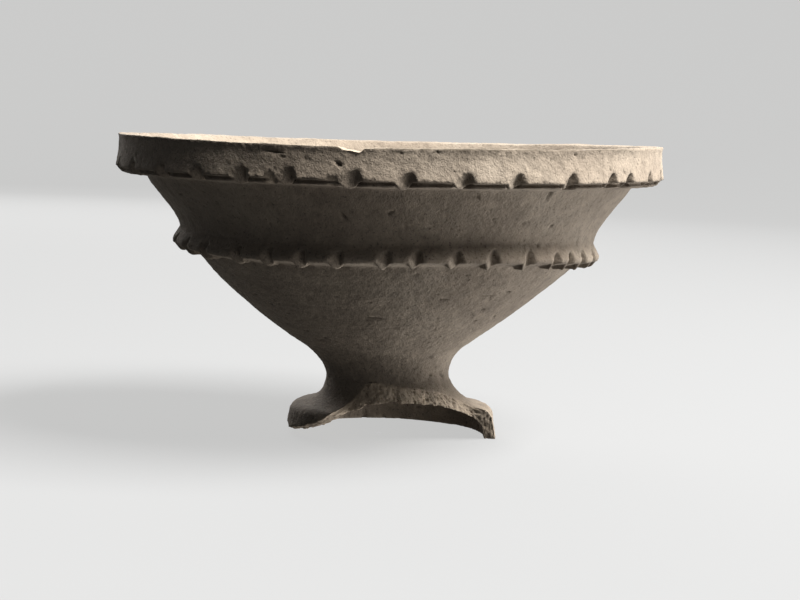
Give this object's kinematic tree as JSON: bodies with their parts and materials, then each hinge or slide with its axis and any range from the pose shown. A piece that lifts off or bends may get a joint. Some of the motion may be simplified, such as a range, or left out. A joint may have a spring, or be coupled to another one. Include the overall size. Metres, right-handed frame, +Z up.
{
  "type": "footed ceramic cup",
  "caption": "Wide footed cup of coarse fired clay, with notched rim and flange, a narrow stem and a hollow foot broken at the front.",
  "frame": {"origin": "on the surface that the foot stands on, below the middle of the rim", "axes": "+Z up along the stem, -Y towards the broken front of the foot, +X to the right of that view"},
  "size_m": [0.2008, 0.2008, 0.1108],
  "materials": {
    "clay": "matt, gritty, unglazed, with burnt-out pits"
  },
  "bodies": {
    "root": {"cup": "clay"}
  },
  "joints": []
}
